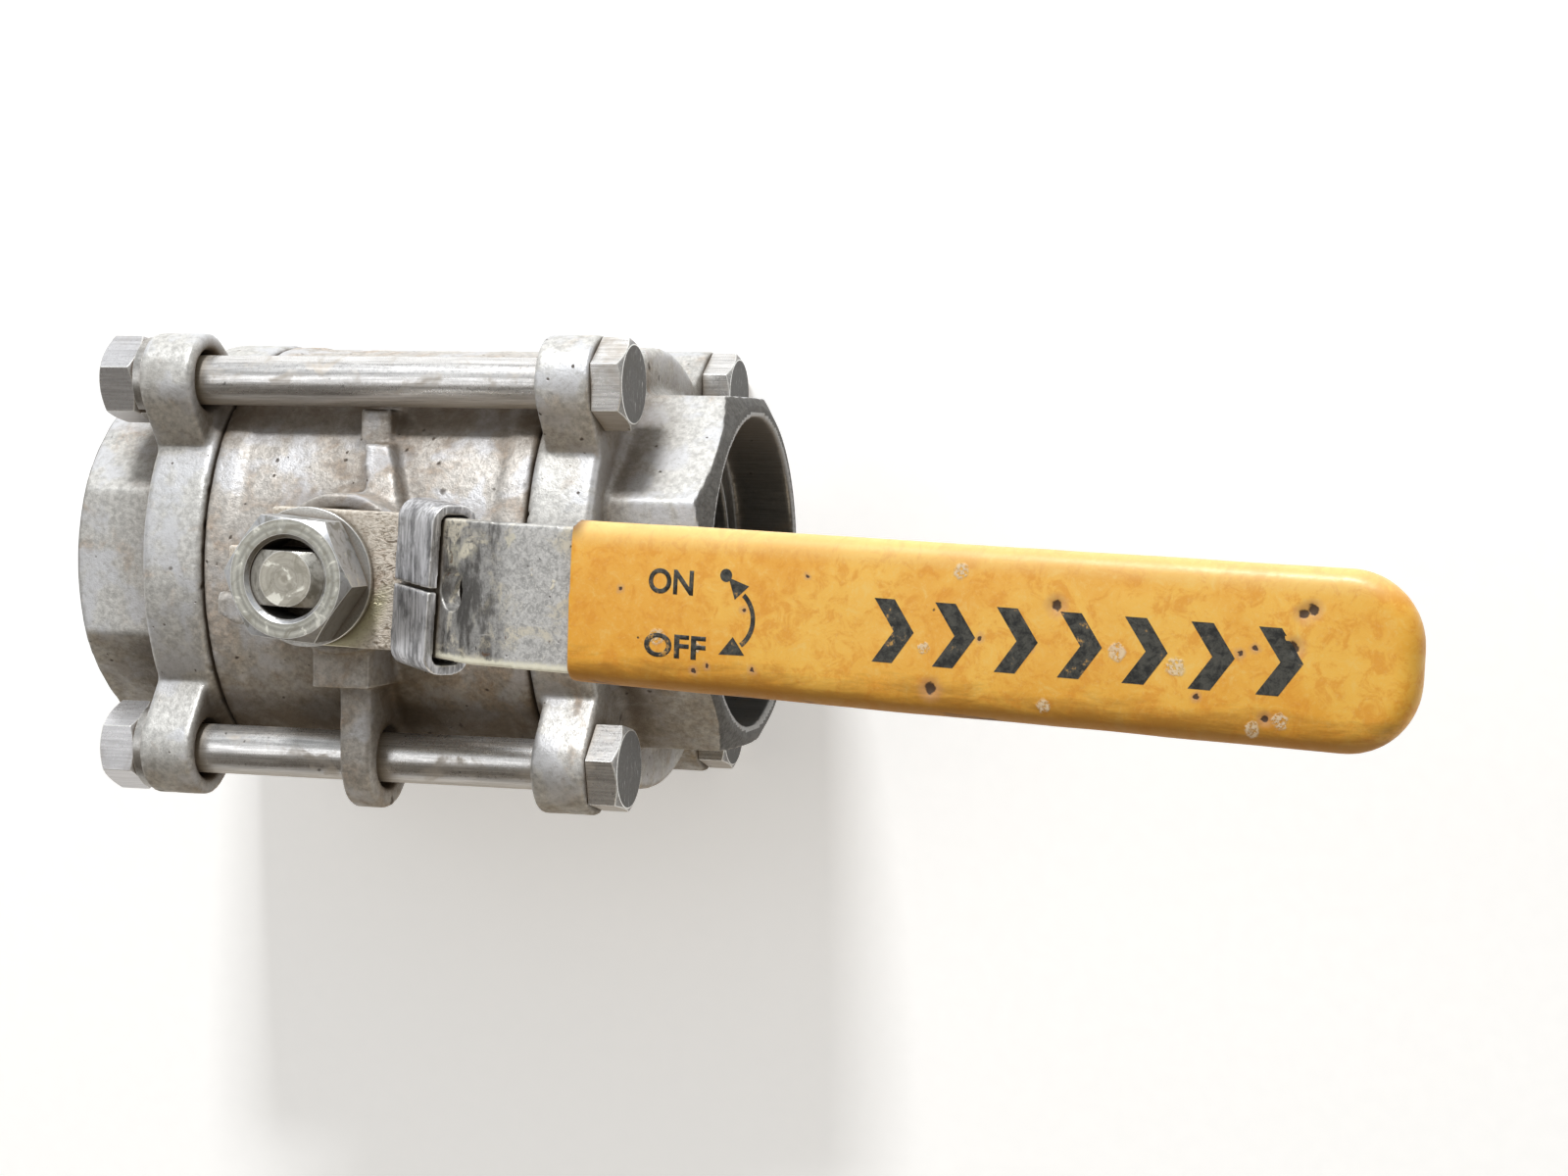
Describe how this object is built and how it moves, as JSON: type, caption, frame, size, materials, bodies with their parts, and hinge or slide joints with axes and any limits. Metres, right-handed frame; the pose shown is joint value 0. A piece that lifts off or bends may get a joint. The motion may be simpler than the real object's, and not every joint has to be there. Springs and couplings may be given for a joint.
{
  "type": "ball valve",
  "caption": "Three-piece full-port ball valve with socket-weld ends, swing-out body, long through-bolts and a cranked lever with sliding lock and vinyl grip.",
  "frame": {"origin": "centre of the ball, where the pipe axis and the stem axis meet", "axes": "+X along the pipe towards the grip of the open lever, +Z along the stem towards the lever, +Y across the pipe"},
  "size_m": [0.3276, 0.1135, 0.1963],
  "materials": {
    "body_casting": "cast stainless steel, bead blasted, dusty",
    "cap_casting": "cast stainless steel, bead blasted, machined end face and socket",
    "bolt_steel": "plain stainless steel, drawn and lightly scratched",
    "lever_steel": "stainless steel strip, mottled and dusty",
    "lock_steel": "folded stainless sheet, scratched",
    "nut_steel": "machined stainless steel",
    "stem_steel": "turned stainless steel",
    "ball_steel": "polished stainless steel",
    "seat_polymer": "filled fluoropolymer, machined",
    "seal_polymer": "fluoropolymer",
    "o_ring_rubber": "moulded fluoroelastomer",
    "packing_polymer": "fluoropolymer packing",
    "spring_steel": "hardened spring steel",
    "grip_vinyl": "dipped vinyl, orange yellow, worn and grimy"
  },
  "bodies": {
    "casing": {"body": "body_casting", "end_cap_left": "cap_casting", "end_cap_right": "cap_casting", "body_seal_left": "seal_polymer", "body_seal_right": "seal_polymer", "seat_left": "seat_polymer", "seat_right": "seat_polymer", "stem_thrust_washer": "seal_polymer", "stem_o_ring": "o_ring_rubber", "packing_base_ring": "packing_polymer", "packing_rings": "packing_polymer", "packing_gland": "nut_steel", "cap_bolts": "bolt_steel", "cap_nuts": "nut_steel", "cap_spring_washers": "spring_steel"},
    "handle": {"lever": "lever_steel", "lever_grip": "grip_vinyl", "lever_nut": "nut_steel", "lever_washer": "nut_steel", "stem": "stem_steel", "gland_nut": "nut_steel", "disc_springs": "spring_steel", "ball": "ball_steel"},
    "lock": {"lock_slide": "lock_steel"}
  },
  "joints": [
    {"name": "lever_turn", "type": "hinge", "parent": "casing", "child": "handle", "pos_m": [0, 0, 0], "axis": [0, 0, 1], "range_deg": [-90, 0]},
    {"name": "lock_travel", "type": "slide", "parent": "handle", "child": "lock", "axis": [0.7848, -0.0227, 0.6193], "range_m": [0, 0.007]}
  ]
}
